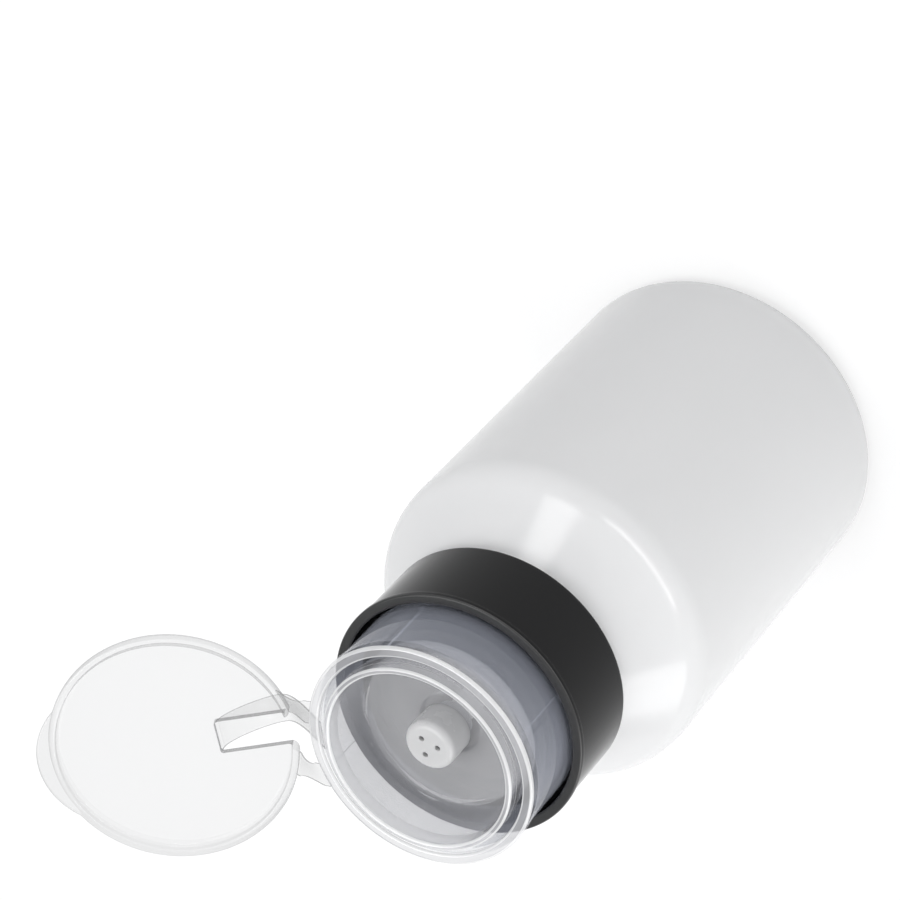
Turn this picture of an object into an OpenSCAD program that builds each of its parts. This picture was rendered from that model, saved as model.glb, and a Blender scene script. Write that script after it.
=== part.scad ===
// Push-down dispenser bottle with a flip lid over a liquid dish.
// Stands upright on its base, axis along Z, origin at the centre of the base.
// The flip lid hinges at the back (+Y) and is drawn open.

/* [Bottle] */
// Outer radius of the straight side
body_r = 30; // [27:0.5:33]
// Height where the straight side ends and the shoulder starts
body_h = 69; // [60:0.5:90]
// Rounding of the corner round the base
base_round = 3; // [2:0.5:4]
// Thickness of the blown side wall
bottle_wall = 1.2; // [0.8:0.1:1.6]
// Thickness of the bottle's floor
floor_t = 1.6; // [1:0.1:2.5]
// Radius of the hollow pushed up under the base
dome_r = 23; // [18:0.5:23.5]
// Depth of the hollow under the base
dome_h = 1.2; // [0.6:0.1:2]
// Rounding between the side and the shoulder
shoulder_round = 9; // [7:0.5:11]
// Slope of the shoulder, from upright
shoulder_slope = 40; // [36:1:44]
// Outer radius of the flat ledge round the neck
ledge_r = 20.4; // [19:0.1:21]

/* [Neck] */
// Radius at the root of the neck thread
neck_r = 15.4; // [14.5:0.1:15.8]
// Wall of the neck
neck_wall = 1.8; // [1.4:0.1:2.2]
// Height of the neck above the ledge
neck_h = 8.3; // [7:0.1:10]
// Rounding at the foot of the neck
neck_fillet = 0.8; // [0.3:0.1:1]
// Height of the thread ridge
thread_h = 0.9; // [0.6:0.1:1]
// Play between the thread ridge and the collar's sleeve
thread_play = 0.3; // [0.2:0.05:0.5]

/* [Collar] */
// Outer radius of the collar
collar_r = 22.3; // [22:0.1:24]
// Height of the collar
collar_h = 16.3; // [15.6:0.1:18]
// Wall of the collar's outer skin
collar_wall = 1.4; // [1:0.1:1.6]
// Gap between the ledge and the collar's lower edge
collar_gap = 0.9; // [0.5:0.1:2]
// Rounding of the collar's lower edge
collar_round = 0.7; // [0.3:0.1:1]
// How far the bead round the mouth stands out
lip_out = 0.35; // [0.1:0.05:0.6]
// Height of the bead round the mouth
lip_h = 1.1; // [0.8:0.1:2]
// Wall of the inner sleeve that screws onto the neck
sleeve_wall = 1.6; // [1.2:0.1:1.8]
// Thickness of the collar's inner web and well floor
web_t = 1.2; // [0.9:0.1:1.4]
// Play between the pressed skirt and the floor of the well
well_play = 0.8; // [0.3:0.1:1.5]
// Radius of the hole in the web
web_hole_r = 6.2; // [5.9:0.1:6.8]

/* [Pump] */
// Thickness of the sealing ring on the neck
gasket_t = 1; // [0.8:0.1:1.5]
// Radius of the pump's flange
flange_r = 15.9; // [15.5:0.1:16.1]
// Thickness of the pump's flange
flange_t = 1.2; // [1:0.1:1.6]
// Bore of the pump barrel
barrel_bore_r = 5.5; // [5:0.1:5.8]
// Wall of the pump barrel
barrel_wall = 1.2; // [0.9:0.1:1.5]
// Radius of the seat for the stem guide
guide_r = 7.2; // [7:0.1:7.5]
// Depth of the seat for the stem guide
guide_depth = 7; // [5:0.5:8]
// Outer radius of the hollow stem
stem_r = 2.2; // [2:0.1:2.4]
// Bore of the stem
stem_bore_r = 1.2; // [0.9:0.05:1.3]
// Height of the piston
piston_h = 5; // [4:0.5:6]
// Length of the return spring at rest
spring_len = 14; // [13:0.5:16]
// Mean radius of the return spring
spring_r = 3.8; // [3.5:0.1:4]
// Thickness of the spring wire
wire_d = 0.8; // [0.6:0.1:0.9]
// Turns of the return spring
spring_turns = 7; // [6:1:8]
// Radius of the inlet ball
ball_r = 2; // [1.9:0.05:2.1]
// Length of the cage round the inlet ball
cage_h = 6.4; // [5.5:0.1:7]
// Length of the socket for the dip tube
socket_h = 8; // [6:0.5:10]
// Outer radius of the dip tube
tube_r = 2.4; // [2.3:0.1:2.6]
// Wall of the dip tube
tube_wall = 0.7; // [0.5:0.05:0.8]
// Gap between the dip tube's end and the bottle's floor
tube_gap = 1.2; // [0.8:0.1:3]
// Travel of the push-down dish
press_travel = 6; // [4:0.5:6]

/* [Dish] */
// Height of the dish's outer rim above the collar's mouth
rim_rise = 12.75; // [12.5:0.25:14]
// Radius of the dish's outer rim
rim_r = 20.4; // [20.3:0.1:20.6]
// Width of the raised ring round the outer rim
rim_w = 1.9; // [1.5:0.1:2.1]
// How far the ring and the lip stand above the flange
rim_h = 1.15; // [0.8:0.05:1.4]
// Thickness of the flange
dish_flange_t = 1.3; // [1:0.1:1.5]
// Outer radius of the skirt that slides in the collar
skirt_r = 20.1; // [19.9:0.1:20.2]
// Wall of the skirt
skirt_wall = 1.1; // [0.9:0.1:1.2]
// How far the skirt reaches into the collar at rest
skirt_in = 2.9; // [2:0.1:3.2]
// Inner radius of the dish at its lip
dish_r = 16; // [15.5:0.1:16.2]
// Inner radius of the dish at its floor
dish_floor_r = 14.9; // [14:0.1:15.4]
// Wall of the dish
dish_wall = 1.1; // [0.9:0.1:1.3]
// How far the lip stands above the outer rim
lip_rise = 1.05; // [0.7:0.05:1.3]
// Depth of the dish below the outer rim
dish_depth = 9.15; // [8.5:0.05:9.4]
// Thickness of the dish's floor
dish_floor_t = 1.2; // [1:0.1:1.4]
// Rounding inside the dish's corner
dish_round = 2; // [1:0.1:3]
// Outer radius of the hub under the dish
hub_r = 5.4; // [5:0.1:5.7]
// Height of the hub under the dish
hub_h = 1.5; // [1:0.1:1.6]
// Width of the guide ribs inside the skirt
rib_w = 1.4; // [1:0.1:2]
// How far the guide ribs stand in from the skirt
rib_in = 0.4; // [0.2:0.05:0.45]
// Direction of the first guide rib
rib_turn = 11.6; // [0:0.1:40]
// Number of guide ribs
rib_count = 4; // [2:1:6]

/* [Nozzle] */
// Radius of the nozzle post
nozzle_r = 4.45; // [4.2:0.05:4.6]
// Height of the nozzle post above the dish's floor
nozzle_h = 6; // [5.6:0.05:6.2]
// Rounding of the nozzle's top edge
nozzle_round = 1.2; // [0.8:0.1:1.5]
// Radius of the nozzle's foot in the hub
spigot_r = 3.4; // [3.2:0.05:3.6]
// Radius of the chamber under the nozzle's face
chamber_r = 2.6; // [2.5:0.05:2.8]
// Height of the chamber under the nozzle's face
chamber_h = 3.3; // [3.1:0.1:3.5]
// Thickness of the nozzle's face
face_t = 1.15; // [0.9:0.05:1.3]
// Radius of each outlet hole
outlet_r = 0.5; // [0.4:0.05:0.6]
// Radius of the circle of outlet holes
outlet_ring_r = 1.75; // [1.6:0.05:2]
// Number of outlet holes
outlet_count = 3; // [1:1:4]
// Radius of the outlet ball
outlet_ball_r = 1.5; // [1.45:0.05:1.6]

/* [Lid] */
// Outer radius of the lid
lid_r = 20.75; // [20.5:0.05:21]
// Height of the lid
lid_h = 3; // [2.8:0.1:4]
// Thickness of the lid's plate
lid_plate_t = 1.1; // [0.9:0.1:1.3]
// Wall of the lid's rim
lid_wall = 1.2; // [0.9:0.1:1.4]
// Rounding of the lid's top edge
lid_round = 2.2; // [1.5:0.1:2.5]
// How far the thumb tab stands out
tab_out = 2.2; // [1.5:0.1:3]
// Radius of the thumb tab's edge
tab_r = 12.85; // [10:0.05:15]
// Thickness of the thumb tab
tab_t = 1.1; // [0.8:0.1:1.6]
// Width of the notch for the spring tongue
notch_w = 6; // [5.5:0.1:7]
// How far the notch's inner end lies from the lid's centre
notch_in = 7.2; // [6:0.1:9]
// Gap between the closed lid and the outer rim
lid_gap = 0.1; // [0.05:0.05:0.3]

/* [Hinge] */
// How far the hinge line lies outside the outer rim
hinge_out = 2.15; // [1.9:0.05:2.5]
// How far the hinge line lies below the outer rim
hinge_drop = 1.92; // [1.5:0.01:2.2]
// Angle from the closed lid to the open lid as drawn
open_angle = 154.4; // [140:0.1:165]
// Width of each hinge strap
strap_w = 4.3; // [3.5:0.1:5]
// How far each strap's middle lies from the centre line
strap_x = 6; // [5.8:0.1:7]
// Thickness of the hinge straps
strap_t = 0.45; // [0.3:0.05:0.6]
// Width of the spring tongue
tongue_w = 5.2; // [4:0.1:5.3]
// Thickness of the spring tongue
tongue_t = 0.6; // [0.4:0.05:0.8]
// How far the open tongue bows down below the hinge line
tongue_bow = 7.8; // [6:0.1:9]
// How far the lowest point of the open tongue lies outside the hinge line
tongue_reach = 8.3; // [7:0.1:10]

/* [Hidden] */
$fn = 96;
// Clearance of parts pressed into each other
press_gap = 0.02;
// Clearance of parts that slide or turn on each other
slide_gap = 0.06;
// Clearance between a resting ball and its seat
ball_gap = 0.03;
// Clearance at each end of the spring and at stops
stop_gap = 0.1;
// Overlap of a cut beyond the face it opens
cut = 1;

// Shoulder, from the tangent points of its rounding
arc_r = body_r - shoulder_round * (1 - cos(shoulder_slope));
arc_z = body_h + shoulder_round * sin(shoulder_slope);
ledge_z = arc_z + (arc_r - ledge_r) / tan(shoulder_slope);
floor_z = dome_h + floor_t;
inner_arc_r = arc_r - bottle_wall * cos(shoulder_slope);
inner_arc_z = arc_z - bottle_wall * sin(shoulder_slope);
inner_ledge_z = ledge_z - bottle_wall;
inner_ledge_r = inner_arc_r - (inner_ledge_z - inner_arc_z) * tan(shoulder_slope);
neck_bore_r = neck_r - neck_wall;
neck_z = ledge_z + neck_h;

// Stack of pieces clamped on the neck
flange_z = neck_z + gasket_t;
web_z = flange_z + flange_t;
web_top = web_z + web_t;
collar_z = ledge_z + collar_gap;
mouth_z = collar_z + collar_h;
sleeve_bore_r = neck_r + thread_h + thread_play;
sleeve_r = sleeve_bore_r + sleeve_wall;
collar_bore_r = collar_r - collar_wall;
well_z = mouth_z - skirt_in - press_travel - well_play;

// Pump, from the flange down
guide_z = web_z - guide_depth;
piston_top = guide_z - stop_gap;
piston_z = piston_top - piston_h;
spring_z = piston_z - stop_gap - spring_len;
seat_z = spring_z - stop_gap;
valve_z = seat_z - cage_h;
valve_hole_r = ball_r * 0.65;
socket_top = valve_z - barrel_wall;
socket_z = socket_top - socket_h;
socket_r = tube_r + barrel_wall;
cage_r = ball_r + ball_r / 4;
cage_lip_r = ball_r - ball_r / 12;
cage_lip_h = barrel_wall / 2;
barrel_r = barrel_bore_r + barrel_wall;

// Dish, from its outer rim down
rim_z = mouth_z + rim_rise;
dish_flange_z = rim_z - rim_h - dish_flange_t;
dish_floor_z = rim_z - dish_depth;
skirt_z = mouth_z - skirt_in;
skirt_bore_r = skirt_r - skirt_wall;
hub_z = dish_floor_z - dish_floor_t - hub_h;

// Nozzle and stem
nozzle_z = dish_floor_z + nozzle_h;
chamber_z = nozzle_z - face_t - chamber_h;
stem_z = piston_z - 1.5 * wire_d;
stem_top = chamber_z - ball_gap;

// Lid, drawn closed and then opened about the hinge line
lid_z = rim_z + lid_gap;
hinge_y = rim_r + hinge_out;
hinge_z = rim_z - hinge_drop;
tab_y = -(lid_r + tab_out - tab_r);

// A point (y, z) of the closed lid, moved to the open lid
function opened(p) = [
    hinge_y + (p[0] - hinge_y) * cos(open_angle) + (p[1] - hinge_z) * sin(open_angle),
    hinge_z - (p[0] - hinge_y) * sin(open_angle) + (p[1] - hinge_z) * cos(open_angle)
];
function bezier(a, b, c, d, t) =
    pow(1 - t, 3) * a + 3 * pow(1 - t, 2) * t * b + 3 * (1 - t) * t * t * c + t * t * t * d;
function bezier_slope(a, b, c, d, t) =
    3 * pow(1 - t, 2) * (b - a) + 6 * (1 - t) * t * (c - b) + 3 * t * t * (d - c);
function left_of(v) = [-v[1], v[0]] / norm(v);

// One edge of a strip of thickness t along a smooth curve, on the side s of the curve
function edge(a, b, c, d, t, s, n) =
    [for (i = [0:n]) bezier(a, b, c, d, i / n) + s * left_of(bezier_slope(a, b, c, d, i / n)) * t / 2];
function reversed(v) = [for (i = [len(v) - 1:-1:0]) v[i]];

// Extrudes a (y, z) outline along X, centred on x
module across(x, w) {
    translate([x - w / 2, 0, 0])
        rotate([90, 0, 90])
            linear_extrude(height = w)
                children();
}

// Half section of the bottle's outside
module bottle_outside() {
    translate([0, base_round])
        square([body_r, body_h - base_round]);
    square([body_r - base_round, base_round]);
    translate([body_r - base_round, base_round])
        circle(r = base_round);
    translate([body_r - shoulder_round, body_h])
        circle(r = shoulder_round);
    polygon([
        [0, body_h], [body_r - shoulder_round, body_h], [arc_r, arc_z], [ledge_r, ledge_z], [0, ledge_z]
    ]);
    translate([0, ledge_z])
        square([neck_r, neck_h]);
    difference() {
        translate([neck_r, ledge_z])
            square([neck_fillet, neck_fillet]);
        translate([neck_r + neck_fillet, ledge_z + neck_fillet])
            circle(r = neck_fillet);
    }
}

// Half section of the space inside the bottle
module bottle_inside() {
    inner_r = body_r - bottle_wall;
    inner_round = max(base_round - bottle_wall, 0.5);
    translate([0, floor_z + inner_round])
        square([inner_r, body_h - floor_z - inner_round]);
    translate([0, floor_z])
        square([inner_r - inner_round, inner_round]);
    translate([inner_r - inner_round, floor_z + inner_round])
        circle(r = inner_round);
    translate([body_r - shoulder_round, body_h])
        circle(r = shoulder_round - bottle_wall);
    polygon([
        [0, body_h], [body_r - shoulder_round, body_h], [inner_arc_r, inner_arc_z],
        [inner_ledge_r, inner_ledge_z], [0, inner_ledge_z]
    ]);
    translate([0, inner_ledge_z - cut])
        square([neck_bore_r, neck_h + bottle_wall + 2 * cut]);
}

module bottle() {
    color("whitesmoke")
        rotate_extrude()
            difference() {
                intersection() {
                    bottle_outside();
                    square([body_r, neck_z]);
                }
                bottle_inside();
                translate([0, -cut])
                    square([dome_r, dome_h + cut]);
            }
}

// One moulding: outer skin with a bead at its mouth, inner threaded sleeve, web and well floor
module collar() {
    color("dimgray")
        rotate_extrude() {
            difference() {
                translate([collar_bore_r, collar_z])
                    square([collar_wall, collar_h]);
                translate([collar_r - collar_round, collar_z - cut])
                    square([collar_round + cut, collar_round + cut]);
            }
            intersection() {
                translate([collar_r - collar_round, collar_z + collar_round])
                    circle(r = collar_round);
                translate([collar_bore_r, collar_z])
                    square([collar_wall, collar_h]);
            }
            translate([collar_r - collar_wall / 2, mouth_z - lip_h])
                square([collar_wall / 2 + lip_out, lip_h]);
            translate([sleeve_bore_r, collar_z])
                square([sleeve_wall, web_top - collar_z]);
            translate([web_hole_r, web_z])
                square([sleeve_r - web_hole_r, web_t]);
            translate([sleeve_r - sleeve_wall / 2, well_z - web_t])
                square([collar_bore_r - sleeve_r + sleeve_wall / 2 + collar_wall / 2, web_t]);
        }
}

module neck_gasket() {
    color("lightyellow")
        rotate_extrude()
            translate([neck_bore_r, neck_z])
                square([flange_r - neck_bore_r, gasket_t]);
}

// Pump barrel with its flange, seat for the guide, ball cage and socket for the dip tube
module pump_housing() {
    top_r = guide_r + press_gap + barrel_wall;
    color("white")
        rotate_extrude()
            difference() {
                union() {
                    translate([0, flange_z])
                        square([flange_r, flange_t]);
                    translate([0, guide_z - barrel_wall])
                        square([top_r, flange_z - guide_z + barrel_wall]);
                    translate([0, socket_top])
                        square([barrel_r, guide_z - socket_top]);
                    translate([0, socket_z])
                        square([socket_r, socket_h]);
                }
                translate([0, guide_z])
                    square([guide_r + press_gap, guide_depth + cut]);
                translate([0, seat_z])
                    square([barrel_bore_r, guide_z - seat_z + cut]);
                translate([0, valve_z])
                    square([cage_r, cage_h - cage_lip_h]);
                translate([0, seat_z - cage_lip_h - cut])
                    square([cage_lip_r, cage_lip_h + 2 * cut]);
                translate([0, socket_z])
                    square([valve_hole_r, valve_z - socket_z + cut]);
                translate([0, socket_z - cut])
                    square([tube_r + press_gap, socket_h + cut]);
            }
}

module stem_guide() {
    color("dimgray")
        rotate_extrude()
            difference() {
                union() {
                    translate([0, guide_z])
                        square([guide_r, guide_depth]);
                    translate([0, web_z])
                        square([hub_r, web_t]);
                }
                translate([0, guide_z - cut])
                    square([stem_r + slide_gap, guide_depth + web_t + 2 * cut]);
            }
}

module inlet_ball() {
    color("silver")
        translate([0, 0, valve_z + sqrt(ball_r * ball_r - valve_hole_r * valve_hole_r) + ball_gap])
            sphere(r = ball_r);
}

module dip_tube() {
    color("white")
        translate([0, 0, floor_z + tube_gap])
            difference() {
                cylinder(r = tube_r, h = socket_top - floor_z - tube_gap);
                translate([0, 0, -cut])
                    cylinder(r = tube_r - tube_wall, h = socket_top - floor_z - tube_gap + 2 * cut);
            }
}

// Coil of round wire, closed at both ends, as one swept tube
module return_spring() {
    sides = 8;
    steps = 20;
    count = spring_turns * steps;
    rise = spring_len - wire_d;
    // The end turns lie flat and the turns between carry the pitch
    function lift(u) = u < 1 ? wire_d * u : u > spring_turns - 1
        ? rise - wire_d * (spring_turns - u)
        : wire_d + (rise - 2 * wire_d) * (u - 1) / (spring_turns - 2);
    ring = [for (i = [0:count]) for (j = [0:sides - 1])
        let (a = 360 * i / steps, b = 360 * j / sides, r = spring_r + wire_d / 2 * cos(b))
        [r * cos(a), r * sin(a), lift(i / steps) + wire_d / 2 * sin(b)]];
    walls = [for (i = [0:count - 1]) for (j = [0:sides - 1])
        let (k = (j + 1) % sides)
        [i * sides + j, i * sides + k, (i + 1) * sides + k, (i + 1) * sides + j]];
    start_cap = [for (j = [0:sides - 1]) sides - 1 - j];
    end_cap = [for (j = [0:sides - 1]) count * sides + j];
    color("lightsteelblue")
        translate([0, 0, spring_z + wire_d / 2])
            polyhedron(points = ring, faces = concat(walls, [start_cap], [end_cap]));
}

module piston() {
    color("gainsboro")
        rotate_extrude()
            difference() {
                translate([stem_r + press_gap, piston_z])
                    square([barrel_bore_r - slide_gap - stem_r - press_gap, piston_h]);
                translate([barrel_bore_r, piston_z + piston_h / 2])
                    circle(r = piston_h / 5);
            }
}

module stem() {
    color("white")
        rotate_extrude()
            difference() {
                union() {
                    translate([stem_bore_r, stem_z])
                        square([stem_r - stem_bore_r, stem_top - stem_z]);
                    translate([stem_bore_r, stem_z])
                        square([stem_r - stem_bore_r + wire_d / 2, piston_z - stem_z]);
                }
                translate([0, stem_z - cut])
                    square([stem_bore_r, stem_top - stem_z + 2 * cut]);
            }
}

module outlet_ball() {
    color("silver")
        translate([0, 0, stem_top + sqrt(outlet_ball_r * outlet_ball_r - stem_bore_r * stem_bore_r) + ball_gap])
            sphere(r = outlet_ball_r);
}

module nozzle() {
    color("ghostwhite")
        difference() {
            rotate_extrude()
                difference() {
                    union() {
                        translate([0, dish_floor_z])
                            square([nozzle_r, nozzle_h - nozzle_round]);
                        translate([0, nozzle_z - nozzle_round])
                            square([nozzle_r - nozzle_round, nozzle_round]);
                        translate([nozzle_r - nozzle_round, nozzle_z - nozzle_round])
                            circle(r = nozzle_round);
                        translate([0, hub_z])
                            square([spigot_r, dish_floor_z - hub_z]);
                    }
                    translate([0, hub_z - cut])
                        square([stem_r + press_gap, chamber_z - hub_z + 2 * cut]);
                    translate([0, chamber_z])
                        square([chamber_r, chamber_h]);
                }
            for (i = [0:outlet_count - 1])
                rotate([0, 0, 30 + 360 * i / outlet_count])
                    translate([outlet_ring_r, 0, nozzle_z - face_t - cut])
                        cylinder(r = outlet_r, h = face_t + 2 * cut, $fn = 32);
        }
}

// One clear moulding: dish, raised lip, flange with an outer ring, and the skirt
module dish_cup() {
    lip_top = rim_z + lip_rise;
    under_z = dish_floor_z - dish_floor_t;
    color("lightcyan") {
        difference() {
            rotate_extrude() {
                translate([skirt_bore_r, skirt_z])
                    square([skirt_wall, dish_flange_z - skirt_z + dish_flange_t / 2]);
                translate([dish_r, dish_flange_z])
                    square([rim_r - dish_r, dish_flange_t]);
                translate([rim_r - rim_w, dish_flange_z + dish_flange_t / 2])
                    square([rim_w, rim_z - dish_flange_z - dish_flange_t / 2]);
                translate([dish_r, dish_flange_z])
                    square([dish_wall, lip_top - dish_flange_z]);
                difference() {
                    polygon([
                        [0, under_z], [dish_floor_r + dish_wall, under_z], [dish_r + dish_wall, dish_flange_z + dish_flange_t / 2],
                        [dish_r, dish_flange_z + dish_flange_t / 2], [0, dish_flange_z + dish_flange_t / 2]
                    ]);
                    dish_space();
                }
                translate([spigot_r + press_gap, hub_z])
                    square([hub_r - spigot_r - press_gap, dish_floor_z - hub_z - dish_floor_t / 2]);
            }
            translate([0, 0, hub_z - cut])
                cylinder(r = spigot_r + press_gap, h = dish_floor_z - hub_z + 2 * cut);
        }
        for (i = [0:rib_count - 1])
            rotate([0, 0, rib_turn + 360 * i / rib_count])
                guide_rib();
    }
}

// Half section of the space inside the dish
module dish_space() {
    top_z = dish_flange_z + dish_flange_t;
    difference() {
        polygon([
            [0, dish_floor_z], [dish_floor_r, dish_floor_z], [dish_floor_r, dish_floor_z + dish_round],
            [dish_r, dish_flange_z], [dish_r, top_z], [0, top_z]
        ]);
        difference() {
            translate([dish_floor_r - dish_round, dish_floor_z - cut])
                square([dish_round + cut, dish_round + cut]);
            translate([dish_floor_r - dish_round, dish_floor_z + dish_round])
                circle(r = dish_round);
        }
    }
}

// One upright rib on the inner face of the skirt
module guide_rib() {
    intersection() {
        difference() {
            translate([0, 0, skirt_z])
                cylinder(r = skirt_bore_r + skirt_wall / 2, h = dish_flange_z - skirt_z + dish_flange_t / 2);
            translate([0, 0, skirt_z - cut])
                cylinder(r = skirt_bore_r - rib_in, h = dish_flange_z - skirt_z + 2 * cut);
        }
        translate([0, -rib_w / 2, skirt_z - cut])
            cube([skirt_r, rib_w, dish_flange_z - skirt_z + 2 * cut]);
    }
}

// The lid as closed, before it is swung open
module closed_lid() {
    difference() {
        rotate_extrude()
            difference() {
                union() {
                    translate([0, lid_z])
                        square([lid_r, lid_h - lid_round]);
                    translate([0, lid_z])
                        square([lid_r - lid_round, lid_h]);
                    translate([lid_r - lid_round, lid_z + lid_h - lid_round])
                        circle(r = lid_round);
                }
                translate([0, lid_z - cut])
                    square([lid_r - lid_wall, lid_h - lid_plate_t + cut]);
                translate([0, lid_z - lid_r])
                    square([lid_r + cut, lid_r]);
            }
        translate([-notch_w / 2, notch_in, lid_z - cut])
            cube([notch_w, lid_r, lid_h + 2 * cut]);
    }
    difference() {
        translate([0, tab_y, lid_z])
            cylinder(r = tab_r, h = tab_t);
        translate([0, 0, lid_z - cut])
            cylinder(r = lid_r - lid_wall / 2, h = tab_t + 2 * cut);
    }
}

module lid() {
    color("azure")
        translate([0, hinge_y, hinge_z])
            rotate([-open_angle, 0, 0])
                translate([0, -hinge_y, -hinge_z])
                    closed_lid();
}

// A thin web from the flange's edge to the lid's rim, waisted in plan
module hinge_strap(side) {
    outer_x = strap_x + strap_w / 2;
    a = [sqrt(rim_r * rim_r - outer_x * outer_x) - strap_t, rim_z - rim_h / 2];
    d = opened([sqrt(lid_r * lid_r - outer_x * outer_x) - strap_t, lid_z + strap_t]);
    reach = (d[0] - a[0]) / 3;
    b = a + [reach, strap_t / 2];
    c = d - [reach * cos(180 - open_angle), -reach * sin(180 - open_angle)] / 2;
    waist_r = strap_w;
    color("azure")
        difference() {
            across(side * strap_x, strap_w)
                polygon(concat(edge(a, b, c, d, strap_t, 1, 12), reversed(edge(a, b, c, d, strap_t, -1, 12))));
            cylinder(r = rim_r + press_gap, h = rim_z + lid_h);
            opened_cut(lid_r + press_gap);
            for (s = [-1, 1])
                translate([side * strap_x + s * (strap_w / 2 + waist_r * 0.86), (a[0] + d[0]) / 2 + strap_t, rim_z - lid_r])
                    cylinder(r = waist_r, h = 2 * lid_r);
        }
}

// Cylinder that takes the open lid's place, for trimming what ends at its rim
module opened_cut(r) {
    translate([0, hinge_y, hinge_z])
        rotate([-open_angle, 0, 0])
            translate([0, -hinge_y, lid_z - hinge_z - press_gap])
                cylinder(r = r, h = lid_h + cut);
}

module hinge_strap_left() {
    hinge_strap(-1);
}

module hinge_strap_right() {
    hinge_strap(1);
}

// Bowed spring strip from the notch's inner end down, round and up to the skirt below the flange
module spring_tongue() {
    root_y = notch_in + tongue_t / 2 + press_gap;
    a = opened([root_y, lid_z + lid_h - lid_plate_t / 2]);
    m = [hinge_y + tongue_reach, hinge_z - tongue_bow];
    d = [skirt_r, dish_flange_z - tongue_t];
    b1 = opened([root_y, lid_z + lid_h + 0.3 * tongue_bow]);
    c1 = m + [0.3 * tongue_reach, 0];
    b2 = m - [0.27 * tongue_reach, 0];
    c2 = d + [0.4 * tongue_reach, -0.3 * tongue_bow];
    color("azure")
        difference() {
            across(0, tongue_w)
                polygon(concat(
                    edge(a, b1, c1, m, tongue_t, 1, 16), edge(m, b2, c2, d, tongue_t, 1, 16),
                    reversed(edge(m, b2, c2, d, tongue_t, -1, 16)), reversed(edge(a, b1, c1, m, tongue_t, -1, 16))
                ));
            cylinder(r = skirt_r + press_gap, h = rim_z);
        }
}

bottle();
collar();
neck_gasket();
pump_housing();
stem_guide();
inlet_ball();
dip_tube();
return_spring();
piston();
stem();
outlet_ball();
nozzle();
dish_cup();
lid();
hinge_strap_left();
hinge_strap_right();
spring_tongue();
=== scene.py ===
# Looks for the pump bottle: every visible piece, its finish, the floor, the light and the camera.
# Sizes are in metres in the part's own frame: base centre at the origin, +Z up, hinge at +Y.
import math
from functools import partial

import bmesh
import bpy
from mathutils import Matrix, Vector


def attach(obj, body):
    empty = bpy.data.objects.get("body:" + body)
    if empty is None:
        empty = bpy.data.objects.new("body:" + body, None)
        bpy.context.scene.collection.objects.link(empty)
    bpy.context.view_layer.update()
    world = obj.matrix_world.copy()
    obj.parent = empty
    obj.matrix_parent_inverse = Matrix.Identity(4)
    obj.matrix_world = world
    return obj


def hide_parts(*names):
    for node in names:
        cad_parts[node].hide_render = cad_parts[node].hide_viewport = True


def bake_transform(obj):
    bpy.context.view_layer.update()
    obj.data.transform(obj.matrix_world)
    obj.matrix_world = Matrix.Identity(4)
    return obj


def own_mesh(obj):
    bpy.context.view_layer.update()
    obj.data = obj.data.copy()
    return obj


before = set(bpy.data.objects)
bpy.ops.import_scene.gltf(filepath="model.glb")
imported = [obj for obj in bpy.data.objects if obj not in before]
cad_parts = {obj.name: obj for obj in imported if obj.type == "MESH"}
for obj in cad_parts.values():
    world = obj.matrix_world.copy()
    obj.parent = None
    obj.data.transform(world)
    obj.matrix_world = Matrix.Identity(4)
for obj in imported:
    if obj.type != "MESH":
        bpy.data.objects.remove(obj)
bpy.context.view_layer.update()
scene = bpy.context.scene
scene.view_settings.view_transform = "Standard"
MM = 0.001

# Camera
# Long lens that looks down on the open dish from the front and right side, rolled so that the
# bottle's axis runs from the upper right to the lower left of the picture.
lens_of_view = bpy.data.cameras.new("view_lens")
lens_of_view.sensor_width = 36
lens_of_view.lens = 150.03
lens_of_view.clip_start = 0.05
viewpoint = bpy.data.objects.new("viewpoint", lens_of_view)
picture_right = Vector((-0.19753, -0.85683, -0.47626))
picture_up = Vector((0.87944, 0.05975, -0.47224))
picture_back = Vector((0.43309, -0.51212, 0.74173))
turn = Matrix((picture_right, picture_up, picture_back)).transposed()
viewpoint.matrix_world = Matrix.Translation(Vector((300.55, -307.02, 530.81)) * MM) @ turn.to_4x4()
scene.collection.objects.link(viewpoint)
scene.camera = viewpoint

# Floor and light
# Seamless white table under a soft white tent. Large lamps stand to the left and overhead, a small
# one to the right and a narrow strip in front, which draws the light line on the bottle's shoulder.
# The camera, reflections and clear plastic see plain white.
TENT_COLOUR, TENT_LIGHT = (0.97, 0.98, 1.0, 1), 0.62
TABLE_HALF, TABLE_Z, TABLE_TONE, TABLE_GLOW = 3.0, -0.0002, 0.4, 0.6


def seen_by(tree, *rays):
    """A socket that is 1 for the kinds of ray named and 0 for all others."""
    path = tree.nodes.new("ShaderNodeLightPath")
    level = path.outputs[rays[0]]
    for ray in rays[1:]:
        either = tree.nodes.new("ShaderNodeMath")
        either.operation = "MAXIMUM"
        tree.links.new(level, either.inputs[0])
        tree.links.new(path.outputs[ray], either.inputs[1])
        level = either.outputs[0]
    return level


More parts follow.
